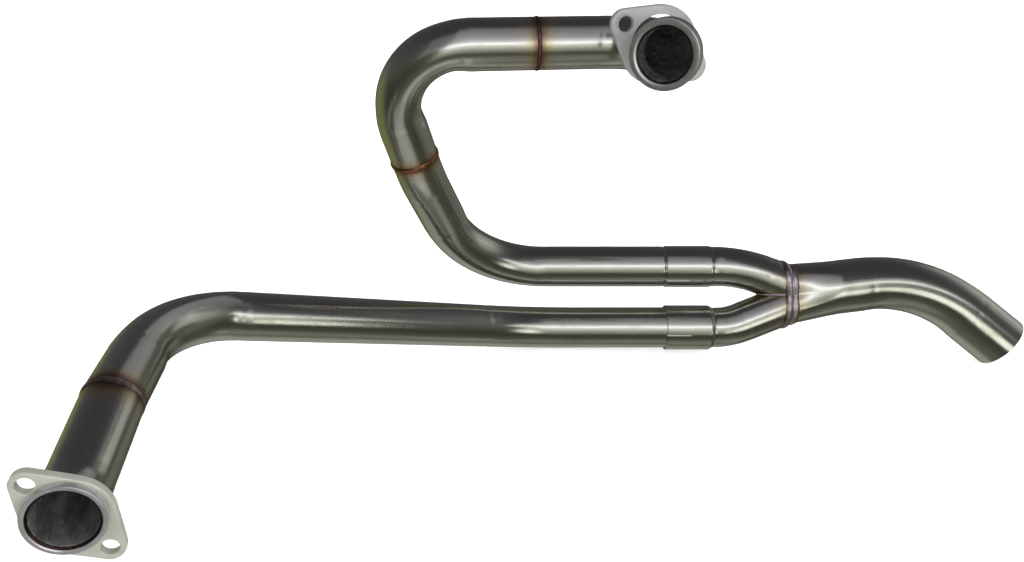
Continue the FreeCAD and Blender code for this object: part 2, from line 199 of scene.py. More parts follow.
def finish_mesh(mesh, sharp):
    import bmesh
    bm = bmesh.new()
    bm.from_mesh(mesh)
    bmesh.ops.recalc_face_normals(bm, faces=bm.faces)
    bm.to_mesh(mesh)
    bm.free()
    mesh.polygons.foreach_set("use_smooth", np.ones(len(mesh.polygons), bool))
    mesh.set_sharp_from_angle(angle=math.radians(sharp))
    mesh.update()


def grid_faces(rows, n, base=0, closed=True, flip=False):
    f = []
    for k in range(rows - 1):
        for j in range(n if closed else n - 1):
            a, b = base + k * n + j, base + k * n + (j + 1) % n
            c, d = b + n, a + n
            f.append((a, d, c, b) if flip else (a, b, c, d))
    return f


def tube(name, path, mats, n=72, r_out=TUBE_R, r_in=TUBE_R - WALL, mitre0=None, mitre1=None,
         profile=None, weld_at=(), ref=(0, 0, 1), extra=(), s_shift=0.0, chamfer=0.3):
    """Bent tube with squeezed bends, faint former marks and broken end edges."""
    L = path.length
    s = path.marks(extra=list(extra) + [chamfer, L - chamfer])
    P, T, U, W = frames(path, s, ref)
    D = flatten(path, s, T)
    ro = np.full(len(s), float(r_out))
    ri = np.full(len(s), float(r_in))
    if profile:
        ro, ri = profile(s)
    for a in path.arcs:           # where the former held the tube
        for e, sign in ((a[0], 1), (a[1], 1)):
            if 6 < e < L - 6:
                ro = ro - 0.10 * np.exp(-((s - e) / 2.6) ** 2) + 0.06 * np.exp(-((s - e - 5 * sign) / 3.2) ** 2)
    if mitre0 is None:
        ro[0] -= chamfer
        ri[0] += chamfer * 0.6
    if mitre1 is None:
        ro[-1] -= chamfer
        ri[-1] += chamfer * 0.6
    phi = np.arange(n) * 2 * math.pi / n
    q = np.cos(phi)[None, :, None] * U[:, None, :] + np.sin(phi)[None, :, None] * W[:, None, :]
    q = q + np.einsum("kij,knj->kni", D, q)
    out = P[:, None, :] + q * ro[:, None, None]
    inn = P[:, None, :] + q * ri[:, None, None]
    for end, plane in ((0, mitre0), (-1, mitre1)):
        if plane is not None:
            c, nn = plane
            for ring in (out, inn):
                ring[end] += T[end] * (((c - ring[end]) @ nn) / (T[end] @ nn))[:, None]
    k = len(s)
    verts = np.concatenate([out.reshape(-1, 3), inn.reshape(-1, 3)])
    faces = grid_faces(k, n) + grid_faces(k, n, k * n, flip=True)
    inner_flag = [0] * ((k - 1) * n) + [1] * ((k - 1) * n)
    for j in range(n):
        j2 = (j + 1) % n
        faces.append((j, k * n + j, k * n + j2, j2))
        a = (k - 1) * n
        faces.append((a + j, a + j2, k * n + a + j2, k * n + a + j))
        inner_flag += [0, 0]
    coords = np.stack([np.tile(np.cos(phi) * TUBE_R, k), np.tile(np.sin(phi) * TUBE_R, k), np.repeat(s + s_shift, n)], 1)
    sd = np.repeat(s, n)
    wd = np.full(len(sd), 300.0)
    for sw, width in weld_at:
        wd = np.minimum(wd, np.abs(sd - sw) / width)
    ob = make_object(name, verts, faces,
                     {"tube": np.concatenate([coords, coords]), "weld_d": np.concatenate([wd, wd])},
                     mats, inner_flag)
    return ob


def ring_lathe(name, base, d, profile, mats, n=128, attrs=True, ripple=None):
    """Closed profile (distance along d, radius) turned about d."""
    d = unit(d)
    a = unit(np.cross(d, (0.31, 0.52, 0.79)))
    b = np.cross(d, a)
    phi = np.arange(n) * 2 * math.pi / n
    m = len(profile)
    verts = np.zeros((m, n, 3))
    co = np.zeros((m, n, 3))
    for i, (z, r) in enumerate(profile):
        zz = np.full(n, float(z))
        rr = np.full(n, float(r))
        if ripple:
            zz, rr = ripple(i, phi, zz, rr)
        verts[i] = base + d * zz[:, None] + (np.cos(phi)[:, None] * a + np.sin(phi)[:, None] * b) * rr[:, None]
        co[i] = np.stack([np.cos(phi) * r, np.sin(phi) * r, zz], 1)
    faces = grid_faces(m, n)
    last = (m - 1) * n
    for j in range(n):
        faces.append((last + j, last + (j + 1) % n, (j + 1) % n, j))
    at = {"tube": co.reshape(-1, 3), "weld_d": np.full(m * n, 300.0)} if attrs else None
    return make_object(name, verts.reshape(-1, 3), faces, at, mats)


def rounded(corners, r, steps=4):
    """Closed profile with its corners rounded."""
    out = []
    m = len(corners)
    for i in range(m):
        p, a, b = (np.array(corners[j], float) for j in (i, i - 1, (i + 1) % m))
        u, v = unit(a - p), unit(b - p)
        rr = r[i] if isinstance(r, (list, tuple)) else r
        half = math.acos(max(-1, min(1, float(u @ v)))) / 2
        t = min(rr / max(math.tan(half), 1e-3), 0.45 * np.linalg.norm(a - p), 0.45 * np.linalg.norm(b - p))
        p0, p1 = p + u * t, p + v * t
        for k in range(steps + 1):
            w = k / steps
            out.append(tuple((1 - w) ** 2 * p0 + 2 * w * (1 - w) * p + w ** 2 * p1))
    return out


RNG = np.random.default_rng(7)


def wobble(phi, seed, terms=9, low=2):
    r = np.random.default_rng(seed)
    out = np.zeros_like(phi)
    for k in range(low, low + terms):
        out += r.normal() / math.sqrt(k) * np.sin(k * phi + r.uniform(0, 6.28))
    return out / 2.2


def weld_ring(name, centre, d, r, width, height, mats, pitch=1.5, seed=1, across=15):
    """Butt weld bead laid in overlapping crescents round a tube."""
    d = unit(d)
    a = unit(np.cross(d, (0.31, 0.52, 0.79)))
    b = np.cross(d, a)
    count = int(2 * math.pi * r / pitch)
    n = count * 8
    phi = np.arange(n) * 2 * math.pi / n
    wid = width / 2 * (1 + 0.10 * wobble(phi, seed))
    drift = 0.22 * wobble(phi, seed + 1)
    lift = 1 + 0.14 * wobble(phi, seed + 2)
    v = np.linspace(-1, 1, across)
    rows, cos = [], []
    for i, x in enumerate(v):
        ph = count * phi / (2 * math.pi) + 0.95 * x * x + 0.10 * wobble(phi, seed + 3)
        f = ph - np.floor(ph)
        scale = 1 - 0.34 * f ** 1.6 + 0.10 * np.exp(-((f - 0.05) / 0.10) ** 2)
        h = height * lift * (1 - abs(x) ** 2.4) * scale
        rr = r - 0.02 + h * (1 if abs(x) < 1 else 0)
        zz = x * wid + drift
        rows.append(centre + d * zz[:, None] + (np.cos(phi)[:, None] * a + np.sin(phi)[:, None] * b) * rr[:, None])
        cos.append(np.stack([np.cos(phi) * r, np.sin(phi) * r, zz], 1))
    for x in (0.9, -0.9):         # underside, sunk in the tube
        zz = x * wid + drift
        rr = np.full(n, r - 0.45)
        rows.append(centre + d * zz[:, None] + (np.cos(phi)[:, None] * a + np.sin(phi)[:, None] * b) * rr[:, None])
        cos.append(np.stack([np.cos(phi) * r, np.sin(phi) * r, zz], 1))
    m = len(rows)
    verts = np.concatenate(rows)
    faces = grid_faces(m, n)
    last = (m - 1) * n
    faces += [(last + j, last + (j + 1) % n, (j + 1) % n, j) for j in range(n)]
    edge = np.concatenate([np.full(n, abs(x)) for x in list(v) + [0.9, 0.9]])
    return make_object(name, verts, faces, {"tube": np.concatenate(cos), "weld_d": edge}, mats, sharp=70)


def plate_mesh(name, centre, n, ear, size, mats, edge=0.9, bore_shift=0.0):
    """Two-bolt flange plate with rolled edges and chamfered holes."""
    rc, re, pcd, bolt_r, bore_r = size
    n = unit(n)
    e = unit(ear - n * (ear @ n))
    g = np.cross(n, e)
    a = pcd / 2
    beta = math.acos((rc - re) / a)

    def outline(inset):
        out = []

        def arc(c, r, t0, t1, k):
            for t in np.linspace(t0, t1, k):
                out.append((c + (r - inset) * math.cos(t), (r - inset) * math.sin(t)))

        arc(a, re, -beta, beta, 28)
        arc(0, rc, beta, math.pi - beta, 40)
        arc(-a, re, math.pi - beta, math.pi + beta, 28)
        arc(0, rc, math.pi + beta, 2 * math.pi - beta, 40)
        return np.array(out)

    def circle(c, r, k):
        t = np.arange(k) * 2 * math.pi / k
        return np.stack([c + r * np.cos(t), r * np.sin(t)], 1)

    h = PLATE_T / 2
    levels = []
    for t in np.linspace(0, 1, 5):
        w = t * math.pi / 2
        levels.append((-h + edge * (1 - math.sin(w)), edge * (1 - math.cos(w))))
    levels = [(z, i) for z, i in reversed(levels)]
    levels = [(z, i) for z, i in levels] + [(-z, i) for z, i in reversed(levels)]
    verts, faces, off = [], [], 0
    rims = {"lo": [], "hi": []}

    def wall(maker, k):
        nonlocal off
        for z, i in levels:
            verts.extend([(x, y, z) for x, y in maker(i)])
        for lv in range(len(levels) - 1):
            for j in range(k):
                p, q = off + lv * k + j, off + lv * k + (j + 1) % k
                faces.append((p, q, q + k, p + k))
        rims["lo"].append(list(range(off, off + k)))
        top = off + (len(levels) - 1) * k
        rims["hi"].append(list(range(top, top + k)))
        off += len(levels) * k

    wall(outline, len(outline(0)))
    wall(lambda i: circle(bore_shift, bore_r + i * 0.2, 96), 96)
    wall(lambda i: circle(a, bolt_r + i * 0.6, 48), 48)
    wall(lambda i: circle(-a, bolt_r + i * 0.6, 48), 48)
    for side in ("lo", "hi"):
        loops = [[Vector(verts[i]) for i in loop] for loop in rims[side]]
        flat = [i for loop in rims[side] for i in loop]
        for tri in tessellate_polygon(loops):
            faces.append(tuple(flat[i] for i in tri))
    v = np.array(verts)
    world = centre + v[:, :1] * e + v[:, 1:2] * g + v[:, 2:] * n
    return make_object(name, world, faces, {"tube": v, "weld_d": np.full(len(v), 300.0)}, mats, sharp=32)


# ------------------------------------------------------------------- materials
def node(nt, kind, inputs=None, **props):
    nd = nt.nodes.new(kind)
    for k, v in props.items():
        setattr(nd, k, v)
    for k, v in (inputs or {}).items():
        if isinstance(v, bpy.types.NodeSocket):
            nt.links.new(v, nd.inputs[k])
        else:
            nd.inputs[k].default_value = v
    return nd


def ramp(nt, fac, stops, mode="LINEAR"):
    nd = node(nt, "ShaderNodeValToRGB", {"Fac": fac})
    el = nd.color_ramp.elements
    nd.color_ramp.interpolation = mode
    while len(el) < len(stops):
        el.new(0.5)
    for x, (pos, col) in zip(el, stops):
        x.position = pos
        x.color = col if len(col) == 4 else (*col, 1.0)
    return nd


def math_node(nt, op, a, b=0.0, clamp=False):
    return node(nt, "ShaderNodeMath", {0: a, 1: b}, operation=op, use_clamp=clamp).outputs[0]


def mix_colour(nt, fac, a, b, blend="MIX"):
    nd = node(nt, "ShaderNodeMix", data_type="RGBA", blend_type=blend)
    for i, v in ((0, fac), (6, a), (7, b)):
        if isinstance(v, bpy.types.NodeSocket):
            nt.links.new(v, nd.inputs[i])
        else:
            nd.inputs[i].default_value = v if i == 0 else (*v, 1.0)
    return nd.outputs[2]


def noise(nt, vec, scale, detail=3.0, rough=0.55, stretch=None):
    if stretch is not None:
        vec = node(nt, "ShaderNodeVectorMath", {0: vec, 1: stretch}, operation="MULTIPLY").outputs[0]
    return node(nt, "ShaderNodeTexNoise", {"Vector": vec, "Scale": scale, "Detail": detail, "Roughness": rough}).outputs["Fac"]


def new_material(name):
    m = bpy.data.materials.new(name)
    m.use_nodes = True
    nt = m.node_tree
    nt.nodes.clear()
    out = node(nt, "ShaderNodeOutputMaterial")
    bsdf = node(nt, "ShaderNodeBsdfPrincipled")
    nt.links.new(bsdf.outputs[0], out.inputs[0])
    return m, nt, bsdf


def steel_tube(name, light, dark, rough, tint=1.0):
    """Drawn stainless tube: lengthwise drawing lines, faint stains, heat colours by the welds."""
    m, nt, bsdf = new_material(name)
    co = node(nt, "ShaderNodeAttribute", attribute_name="tube").outputs["Vector"]
    wd = node(nt, "ShaderNodeAttribute", attribute_name="weld_d").outputs["Fac"]
    lines = noise(nt, co, 1.5, 4.0, 0.6, (1.0, 1.0, 0.018))
    fine = noise(nt, co, 5.0, 2.0, 0.6, (1.0, 1.0, 0.03))
    cloud = noise(nt, co, 0.035, 4.0, 0.62)
    blot = noise(nt, co, 0.11, 5.0, 0.66, (1.0, 1.0, 0.35))
    base = mix_colour(nt, cloud, dark, light)
    k = node(nt, "ShaderNodeMapRange", {0: lines, 1: 0.30, 2: 0.72, 3: 0.90, 4: 1.06}).outputs[0]
    base = mix_colour(nt, 1.0, base, node(nt, "ShaderNodeCombineColor", {0: k, 1: k, 2: k}).outputs[0], "MULTIPLY")
    stain = node(nt, "ShaderNodeMapRange", {0: blot, 1: 0.54, 2: 0.78, 3: 0.0, 4: 0.30}).outputs[0]
    base = mix_colour(nt, stain, base, (0.40, 0.385, 0.27))
    jitter = node(nt, "ShaderNodeMapRange", {0: noise(nt, co, 0.16, 3.0, 0.6), 1: 0.25, 2: 0.75, 3: -1.7, 4: 1.7}).outputs[0]
    near = math_node(nt, "MULTIPLY", math_node(nt, "ADD", wd, jitter), 1.0 / 26.0, True)
    heat = ramp(nt, near, [(0.0, (0.190, 0.118, 0.098)), (0.07, (0.270, 0.165, 0.130)), (0.13, (0.350, 0.220, 0.155)),
                           (0.20, (0.450, 0.325, 0.185)), (0.31, (0.540, 0.455, 0.265)), (0.50, (0.590, 0.545, 0.410)),
                           (1.0, (0.600, 0.590, 0.540))], "EASE")
    much = ramp(nt, near, [(0.0, (0.96,) * 3), (0.16, (0.88,) * 3), (0.32, (0.62,) * 3), (0.55, (0.26,) * 3), (1.0, (0.0,) * 3)])
    base = mix_colour(nt, math_node(nt, "MULTIPLY", much.outputs[0], tint), base, heat.outputs[0])
    nt.links.new(base, bsdf.inputs["Base Color"])
    bsdf.inputs["Metallic"].default_value = 1.0
    ra = node(nt, "ShaderNodeMapRange", {0: fine, 1: 0.25, 2: 0.75, 3: rough - 0.045, 4: rough + 0.055}).outputs[0]
    ra = math_node(nt, "ADD", ra, math_node(nt, "MULTIPLY", stain, 0.25))
    ra = math_node(nt, "ADD", ra, math_node(nt, "MULTIPLY", much.outputs[0], 0.10))
    nt.links.new(ra, bsdf.inputs["Roughness"])
    bump = node(nt, "ShaderNodeBump", {"Strength": 0.10, "Distance": 0.00006, "Height": lines})
    bump2 = node(nt, "ShaderNodeBump", {"Strength": 0.18, "Distance": 0.0006, "Height": noise(nt, co, 0.07, 2.0, 0.5, (1, 1, 0.4)),
                                        "Normal": bump.outputs[0]})
    nt.links.new(bump2.outputs[0], bsdf.inputs["Normal"])
    return m


def dark_patchy_bore(name):
    """Inside of the tubes: steel in dark and pale patches, darker than the outside."""
    m, nt, bsdf = new_material(name)
    co = node(nt, "ShaderNodeAttribute", attribute_name="tube").outputs["Vector"]
    patches = noise(nt, co, 0.09, 5.0, 0.65, (1, 1, 0.5))
    col = ramp(nt, patches, [(0.34, (0.140, 0.152, 0.160)), (0.50, (0.310, 0.325, 0.320)), (0.66, (0.60, 0.595, 0.56))])
    nt.links.new(col.outputs[0], bsdf.inputs["Base Color"])
    bsdf.inputs["Metallic"].default_value = 0.78
    r = node(nt, "ShaderNodeMapRange", {0: patches, 1: 0.3, 2: 0.7, 3: 0.36, 4: 0.20}).outputs[0]
    nt.links.new(r, bsdf.inputs["Roughness"])
    b = node(nt, "ShaderNodeBump", {"Strength": 0.25, "Distance": 0.0004, "Height": noise(nt, co, 0.5, 4.0)})
    nt.links.new(b.outputs[0], bsdf.inputs["Normal"])
    return m


def weld_metal(name, stops, rough=0.34):
    """Weld metal: heat-coloured crescents, darker at the toes."""
    m, nt, bsdf = new_material(name)
    co = node(nt, "ShaderNodeAttribute", attribute_name="tube").outputs["Vector"]
    wd = node(nt, "ShaderNodeAttribute", attribute_name="weld_d").outputs["Fac"]
    v = math_node(nt, "ADD", noise(nt, co, 0.22, 4.0, 0.6), math_node(nt, "MULTIPLY", math_node(nt, "POWER", wd, 3.0, True), -0.30))
    col = ramp(nt, v, stops)
    fine = noise(nt, co, 1.6, 3.0)
    k = node(nt, "ShaderNodeMapRange", {0: fine, 1: 0.3, 2: 0.7, 3: 0.82, 4: 1.1}).outputs[0]
    c = mix_colour(nt, 1.0, col.outputs[0], node(nt, "ShaderNodeCombineColor", {0: k, 1: k, 2: k}).outputs[0], "MULTIPLY")
    nt.links.new(c, bsdf.inputs["Base Color"])
    bsdf.inputs["Metallic"].default_value = 1.0
    r = node(nt, "ShaderNodeMapRange", {0: fine, 1: 0.3, 2: 0.7, 3: rough - 0.06, 4: rough + 0.12}).outputs[0]
    nt.links.new(r, bsdf.inputs["Roughness"])
    b = node(nt, "ShaderNodeBump", {"Strength": 0.3, "Distance": 0.0001, "Height": fine})
    nt.links.new(b.outputs[0], bsdf.inputs["Normal"])
    return m


def plate_steel(name, light, dark, rough):
    """Blasted flange plate: fine grain, faint handling marks, convex edges lighter."""
    m, nt, bsdf = new_material(name)
    co = node(nt, "ShaderNodeAttribute", attribute_name="tube").outputs["Vector"]
    cloud = noise(nt, co, 0.06, 5.0, 0.62)
    grain = noise(nt, co, 2.6, 3.0, 0.6)
    rub = noise(nt, co, 0.5, 4.0, 0.6, (1.0, 0.12, 1.0))
    f = node(nt, "ShaderNodeMapRange", {0: cloud, 1: 0.3, 2: 0.72, 3: 0.0, 4: 1.0}).outputs[0]
    col = mix_colour(nt, f, dark, light)
    k = node(nt, "ShaderNodeMapRange", {0: grain, 1: 0.25, 2: 0.75, 3: 0.90, 4: 1.06}).outputs[0]
    col = mix_colour(nt, 1.0, col, node(nt, "ShaderNodeCombineColor", {0: k, 1: k, 2: k}).outputs[0], "MULTIPLY")
    geo = node(nt, "ShaderNodeNewGeometry")
    # lighter colour on the convex edges
    convex_lighten = node(nt, "ShaderNodeMapRange", {0: geo.outputs["Pointiness"], 1: 0.51, 2: 0.60, 3: 0.0, 4: 0.55}).outputs[0]
    col = mix_colour(nt, convex_lighten, col, (0.80, 0.79, 0.74))
    nt.links.new(col, bsdf.inputs["Base Color"])
    bsdf.inputs["Metallic"].default_value = 0.55
    r = node(nt, "ShaderNodeMapRange", {0: rub, 1: 0.3, 2: 0.7, 3: rough - 0.06, 4: rough + 0.08}).outputs[0]
    nt.links.new(r, bsdf.inputs["Roughness"])
    b = node(nt, "ShaderNodeBump", {"Strength": 0.22, "Distance": 0.00012, "Height": grain})
    nt.links.new(b.outputs[0], bsdf.inputs["Normal"])
    return m


def turned_steel(name, tone, metal):
    """Turned collar: fine tool rings, slight staining."""
    m, nt, bsdf = new_material(name)
    co = node(nt, "ShaderNodeAttribute", attribute_name="tube").outputs["Vector"]
    sep = node(nt, "ShaderNodeSeparateXYZ", {0: co})
    rad = math_node(nt, "SQRT", math_node(nt, "ADD", math_node(nt, "POWER", sep.outputs[0], 2.0), math_node(nt, "POWER", sep.outputs[1], 2.0)))
    ring = node(nt, "ShaderNodeCombineXYZ", {0: rad, 1: 0.0, 2: sep.outputs[2]}).outputs[0]
    lines = noise(nt, ring, 6.0, 3.0, 0.6)
    cloud = noise(nt, co, 0.07, 5.0, 0.62)
    col = ramp(nt, cloud, [(0.3, (0.50 * tone, 0.49 * tone, 0.50 * tone)), (0.55, (0.64 * tone, 0.63 * tone, 0.64 * tone)), (0.75, (0.72 * tone, 0.71 * tone, 0.71 * tone))])
    k = node(nt, "ShaderNodeMapRange", {0: lines, 1: 0.3, 2: 0.7, 3: 0.88, 4: 1.06}).outputs[0]
    c = mix_colour(nt, 1.0, col.outputs[0], node(nt, "ShaderNodeCombineColor", {0: k, 1: k, 2: k}).outputs[0], "MULTIPLY")
    nt.links.new(c, bsdf.inputs["Base Color"])
    bsdf.inputs["Metallic"].default_value = metal
    r = node(nt, "ShaderNodeMapRange", {0: lines, 1: 0.3, 2: 0.7, 3: 0.22, 4: 0.34}).outputs[0]
    nt.links.new(r, bsdf.inputs["Roughness"])
    b = node(nt, "ShaderNodeBump", {"Strength": 0.25, "Distance": 0.00005, "Height": lines})
    nt.links.new(b.outputs[0], bsdf.inputs["Normal"])
    return m


STEEL = steel_tube("drawn_stainless", (0.620, 0.618, 0.580), (0.520, 0.518, 0.470), 0.20)
COLLECT = steel_tube("collector_stainless", (0.620, 0.620, 0.578), (0.530, 0.528, 0.478), 0.19)
BORE = dark_patchy_bore("dark_patchy_bore")
WELD_BROWN = weld_metal("weld_brown", [(0.22, (0.055, 0.034, 0.030)), (0.40, (0.150, 0.085, 0.070)), (0.55, (0.240, 0.130, 0.095)), (0.75, (0.33, 0.23, 0.19))])
WELD_COPPER = weld_metal("weld_copper", [(0.22, (0.100, 0.045, 0.022)), (0.42, (0.300, 0.135, 0.060)), (0.58, (0.460, 0.220, 0.100)), (0.75, (0.55, 0.33, 0.18))], 0.28)
WELD_LILAC = weld_metal("weld_lilac", [(0.18, (0.300, 0.245, 0.265)), (0.38, (0.520, 0.450, 0.480)), (0.58, (0.680, 0.620, 0.640)), (0.75, (0.76, 0.72, 0.71))], 0.27)
# both plates are the same blasted steel; the rear one is a darker copy, its lower tone painted shade
PLATE_F = plate_steel("plate_front_blasted", (0.740, 0.735, 0.650), (0.560, 0.560, 0.500), 0.42)
PLATE_REAR_SHADED = plate_steel("plate_rear_blasted_shaded", (0.450, 0.455, 0.460), (0.360, 0.365, 0.370), 0.44)
# the same turned collar in two tones: the front one lighter and less metallic, a painted sheen for light on its face;
# the rear one darker, painted shade
COLLAR = turned_steel("turned_collar", 0.95, 0.76)
COLLAR_SHADED = turned_steel("turned_collar_shaded_copy", 0.78, 0.92)
WELD_FRONT = weld_metal("weld_grey_brown", [(0.20, (0.110, 0.080, 0.072)), (0.40, (0.290, 0.225, 0.205)), (0.56, (0.430, 0.350, 0.320)), (0.75, (0.54, 0.47, 0.44))], 0.30)

pieces = {}


def keep(ob, nodes, slot):
    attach(ob, "root")
    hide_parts(*([nodes] if isinstance(nodes, str) else nodes))
    pieces[ob.name] = ob
    return ob


# ---------------------------------------------------------------- front header
f_in = unit(np.array(FRONT_MITRE) - np.array(FRONT_BEND))
f_out = unit(np.array(FRONT_TURN) - np.array(FRONT_MITRE))
f_mitre = unit(f_in + f_out)
front_path = Path([FRONT_SLIP_END, FRONT_KINK, FRONT_BEND, FRONT_MITRE], [151.0, 83.0], [0.012, 0.060])
front_pipe = tube("front_pipe_steel", front_path, [STEEL, BORE], mitre1=(np.array(FRONT_MITRE), f_mitre),
                  weld_at=[(front_path.length, 0.85)])
keep(front_pipe, "front_pipe", "tube")
stub_path = Path([FRONT_MITRE, FRONT_TURN, front_mouth - FRONT_PORT * RECESS], [50.0], [0.0])
front_stub = tube("front_stub_steel", stub_path, [STEEL, BORE], mitre0=(np.array(FRONT_MITRE), f_mitre),
                  weld_at=[(0.0, 0.85)], s_shift=700.0)
keep(front_stub, "front_stub", "tube")
keep(weld_ring("front_stub_bead", np.array(FRONT_MITRE), f_mitre, TUBE_R, 5.2, 0.50, [WELD_FRONT], 1.5, 11),
     "front_stub_weld", "weld")

FRONT_PLATE = (24.0, 8.5, 57.4, 5.0, 20.5)
ear = np.array((-0.566, 0.698, 0.439))
f_ear = unit(ear - FRONT_PORT * (ear @ FRONT_PORT))
keep(plate_mesh("front_flange_plate", front_mouth - FRONT_PORT * (5.0 + PLATE_T / 2) + f_ear * -1.9, FRONT_PORT, f_ear,
                FRONT_PLATE, [PLATE_F], bore_shift=0.6), "front_flange", "plate_front")


def collar_ring(name, mouth, d, od, length, lip, mat):
    ro, ri = od / 2, 19.1
    prof = rounded([(-length, ri), (-length, ro), (0, ro), (0, ri + lip), (-0.62, ri)], [0.15, 0.7, 0.9, 0.35, 0.2], 5)
    return ring_lathe(name, mouth, d, prof, [mat], 144)


def fillet_ring(name, mouth, d, seed):
    """Weld inside the mouth, between the tube's end and the collar."""
    ri, z = 19.1, -RECESS
    prof = [(z, 17.70), (z, 19.06), (z + 1.35, 19.06), (z + 1.20, ri - 0.42), (z + 0.85, ri - 0.75), (z + 0.55, 18.05), (z + 0.3, 17.85)]

    def ripple(i, phi, zz, rr):
        if i < 3:
            return zz, rr
        f = (phi * 52 / (2 * math.pi)) % 1.0
        push = 0.16 * (f ** 1.5 - 0.4) + 0.07 * wobble(phi, seed)
        return zz - 0.5 * push * (i < 6), rr + push

    return ring_lathe(name, mouth, d, prof, [WELD_BROWN], 52 * 6, ripple=ripple)


keep(collar_ring("front_collar_ring", front_mouth, FRONT_PORT, 43.8, 5.0, 0.7, COLLAR), "front_collar", "collar")
keep(fillet_ring("front_mouth_fillet", front_mouth, FRONT_PORT, 21), "front_mouth_weld", "weld")

# ----------------------------------------------------------------- rear header
s3 = unit(np.array(REAR_ELBOW) - np.array(REAR_TOP))
rear_weld = np.array(REAR_TOP) + s3 * ((18.0 - REAR_TOP[0]) / s3[0])
top_out = unit(np.array(REAR_TOP) - np.array(REAR_SET))
mid_weld = np.array(REAR_SET) + top_out * 20.0

low_path = Path([REAR_SLIP_END, REAR_LOW, REAR_SET, mid_weld], [92.0, 100.0], [0.050, 0.020])


def swaged(s):
    """The slip end is swaged to fit the collector's socket."""
    x = 181.0 - s
    k = np.clip((x - (X_SOCKET - 3.2)) / 3.0, 0, 1)
    k = k * k * (3 - 2 * k)
    return TUBE_R - (TUBE_R - 18.35) * k, (TUBE_R - WALL) - (TUBE_R - 18.35) * k


x_ends = [181.0 - (X_SOCKET - 3.2 + d) for d in np.linspace(0, 3.0, 9)]
keep(tube("rear_lower_bend_steel", low_path, [STEEL, BORE], profile=swaged, weld_at=[(low_path.length, 0.8)],
          extra=x_ends, mitre1=(mid_weld, top_out), s_shift=1400.0), "rear_lower_bend", "tube")
up_path = Path([mid_weld, REAR_TOP, rear_weld], [50.0], [0.085])
keep(tube("rear_upper_bend_steel", up_path, [STEEL, BORE], mitre0=(mid_weld, top_out), mitre1=(rear_weld, s3),
          weld_at=[(0.0, 0.8), (up_path.length, 0.85)], s_shift=2300.0), "rear_upper_bend", "tube")
el_path = Path([rear_weld, REAR_ELBOW, rear_mouth - REAR_PORT * RECESS], [42.0], [0.0])
keep(tube("rear_elbow_steel", el_path, [STEEL, BORE], mitre0=(rear_weld, s3), weld_at=[(0.0, 0.85)], s_shift=3100.0),
     "rear_elbow", "tube")
keep(weld_ring("rear_mid_bead", mid_weld, top_out, TUBE_R, 4.8, 0.85, [WELD_COPPER], 1.4, 31), "rear_mid_weld", "weld")
keep(weld_ring("rear_elbow_bead", rear_weld, s3, TUBE_R, 2.8, 0.50, [WELD_BROWN], 1.3, 41), "rear_elbow_weld", "weld")

arc = el_path.arcs[0]
n_plate = rotate(s3, arc[3], math.radians(85.0))
at_plate = arc[2] + rotate(arc[4] - arc[2], arc[3], math.radians(71.0))
ear = np.array((-0.840, 0.386, 0.380))
r_ear = unit(ear - n_plate * (ear @ n_plate))
REAR_PLATE = (28.0, 10.6, 59.8, 5.4, 21.4)
keep(plate_mesh("rear_flange_plate", at_plate + r_ear * 1.2, n_plate, r_ear, REAR_PLATE, [PLATE_REAR_SHADED]), "rear_flange", "plate_rear")
keep(collar_ring("rear_collar_ring", rear_mouth, REAR_PORT, 47.4, 12.0, 1.5, COLLAR_SHADED), "rear_collar", "collar")
keep(fillet_ring("rear_mouth_fillet", rear_mouth, REAR_PORT, 51), "rear_mouth_weld", "weld")


# -------------------------------------------------------------------- collector
def boolean(ob, cutters):
    """Cuts the cutters out of ob and leaves one plain mesh."""
    bpy.context.view_layer.update()
    for c in cutters:
        mod = ob.modifiers.new("cut", "BOOLEAN")
        mod.operation, mod.solver, mod.object = "DIFFERENCE", "EXACT", c
    dg = bpy.context.evaluated_depsgraph_get()
    mesh = bpy.data.meshes.new_from_object(ob.evaluated_get(dg), preserve_all_data_layers=True, depsgraph=dg)
    ob.modifiers.clear()
    old = ob.data
    mesh.name = old.name + "_cut"
    ob.data = mesh
    bpy.data.meshes.remove(old)
    for c in cutters:
        bpy.data.objects.remove(c)


def block(lo, hi):
    (x0, y0, z0), (x1, y1, z1) = lo, hi
    v = np.array([(x, y, z) for x in (x0, x1) for y in (y0, y1) for z in (z0, z1)], float)
    f = [(0, 1, 3, 2), (4, 6, 7, 5), (0, 4, 5, 1), (2, 3, 7, 6), (0, 2, 6, 4), (1, 5, 7, 3)]
    return make_object("cutter", v, f)


def saw(y_axis, deg, side):
    """Saw slot cutter with a round end."""
    t = math.radians(deg)
    radial = np.array((0, math.sin(t), math.cos(t))) * side
    across = np.cross((1, 0, 0), radial)
    ring = [(-2.0, -1.1), (-2.0, 1.1)] + [(22.5 - 1.1 + 1.1 * math.sin(a), 1.1 * math.cos(a)) for a in np.linspace(0, math.pi, 9)]
    base = np.array((X_SOCKET, y_axis, 0.0))
    v = [base + np.array((x, 0, 0)) + across * w + radial * h for h in (8.0, 26.0) for x, w in ring]
    m = len(ring)
    f = [tuple(range(m - 1, -1, -1)), tuple(range(m, 2 * m))] + [(i, (i + 1) % m, m + (i + 1) % m, m + i) for i in range(m)]
    return make_object("cutter", np.array(v), f)


